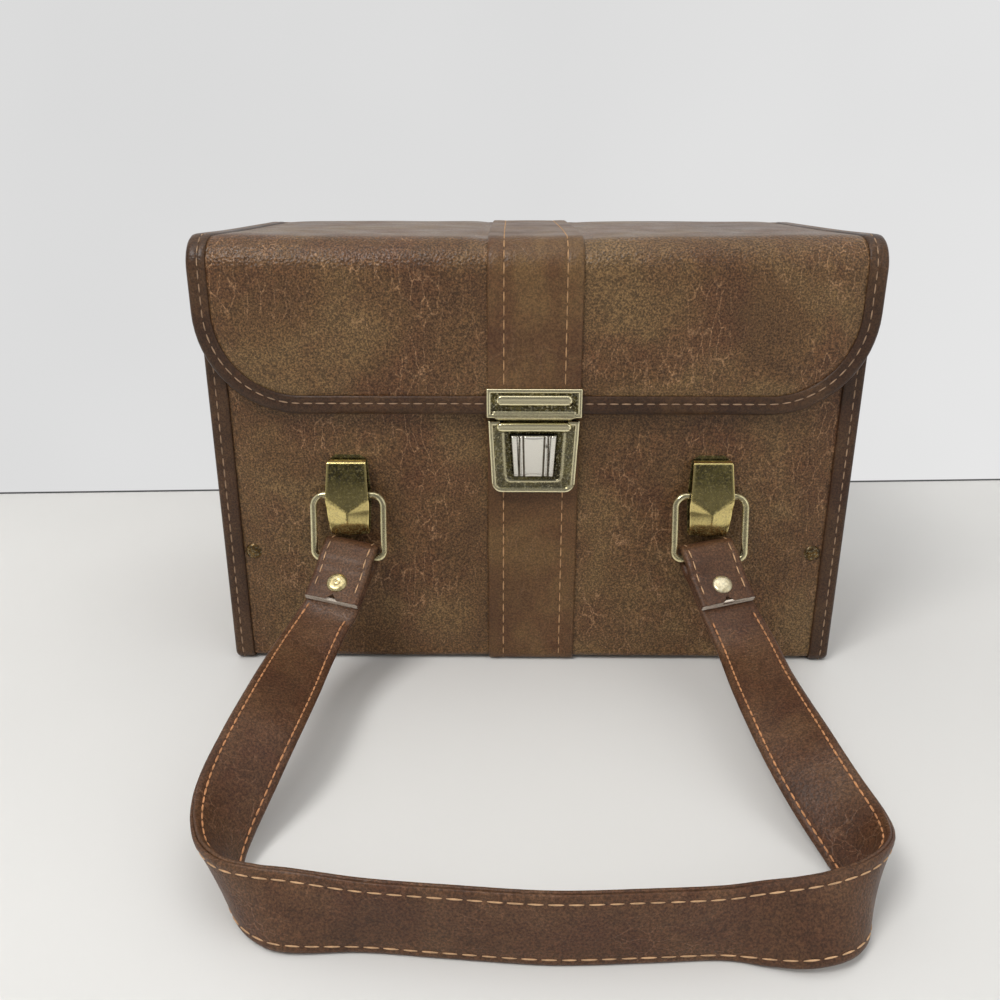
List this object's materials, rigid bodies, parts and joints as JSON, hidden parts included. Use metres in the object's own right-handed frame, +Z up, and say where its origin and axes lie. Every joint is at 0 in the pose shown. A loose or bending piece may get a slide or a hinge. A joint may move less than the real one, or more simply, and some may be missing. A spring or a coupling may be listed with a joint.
{
  "type": "camera case",
  "caption": "Hard-sided box case in padded vinyl with bound, stitched edges, a hinged lid whose front flap closes on a press lock, and a sewn shoulder strap on swinging rings.",
  "frame": {"origin": "on the surface that the case stands on, under the middle of the case body (the strap lying in front is left out of that middle)", "axes": "+X to the right seen from the front, -Y out of the front with the lock, +Z up"},
  "size_m": [0.253, 0.2863, 0.1738],
  "materials": {
    "covering": "worn, pebbled, padded vinyl over board",
    "binding": "satin vinyl tape, stitched",
    "strap": "satin, two sewn layers",
    "lining": "short pile",
    "padding": "foam under short pile",
    "brass": "aged, speckled",
    "rivet_brass": "satin",
    "button_metal": "satin nickel",
    "steel": "plain"
  },
  "bodies": {
    "case": {"front_panel": "covering", "back_panel": "covering", "bottom_panel": "covering", "end_panel_left": "covering", "end_panel_right": "covering", "body_binding_left": "binding", "body_binding_right": "binding", "body_strip": "binding", "hinge_strip": "covering", "front_lining": "lining", "back_lining": "lining", "end_lining_left": "lining", "end_lining_right": "lining", "bottom_pad": "padding", "divider": "padding", "lock_cover": "brass", "lock_base": "steel", "lock_backing": "steel", "lock_rivets": "rivet_brass", "lock_spring": "steel", "clip_left": "brass", "clip_right": "brass", "clip_rivets": "rivet_brass", "front_rivets": "rivet_brass"},
    "lid": {"lid_panel": "covering", "lid_binding": "binding", "lid_strip": "binding", "lid_pad": "padding", "hasp_plate": "brass", "hasp_backing": "steel", "hasp_rivets": "rivet_brass"},
    "lock": {"lock_button": "button_metal", "lock_catch": "steel"},
    "ring_left": {"ring_left": "brass"},
    "ring_right": {"ring_right": "brass"},
    "strap": {"strap_inner_ply": "strap", "strap_outer_ply": "strap", "strap_rivets": "rivet_brass"}
  },
  "joints": [
    {"name": "lid_hinge", "type": "hinge", "parent": "case", "child": "lid", "pos_m": [0, 0.0625, 0.16645], "axis": [-1, 0, 0], "range_deg": [0, 180], "deforming": ["hinge_strip"]},
    {"name": "lock_press", "type": "slide", "parent": "case", "child": "lock", "axis": [0, 1, 0], "range_m": [0, 0.002], "stiffness_N_per_m": 900, "springref_m": -0.002, "deforming": ["lock_spring"]},
    {"name": "ring_left_swing", "type": "hinge", "parent": "case", "child": "ring_left", "pos_m": [-0.0725, -0.066, 0.0755], "axis": [-1, 0, 0], "range_deg": [0, 50]},
    {"name": "ring_right_swing", "type": "hinge", "parent": "case", "child": "ring_right", "pos_m": [0.0695, -0.066, 0.0755], "axis": [-1, 0, 0], "range_deg": [0, 50]},
    {"name": "strap_swing", "type": "hinge", "parent": "ring_left", "child": "strap", "pos_m": [-0.0725, -0.071, 0.051], "axis": [-1, 0, 0], "range_deg": [0, 55]}
  ],
  "couplings": [
    {"joint": "ring_right_swing", "follows": "ring_left_swing", "ratio": 1}
  ]
}
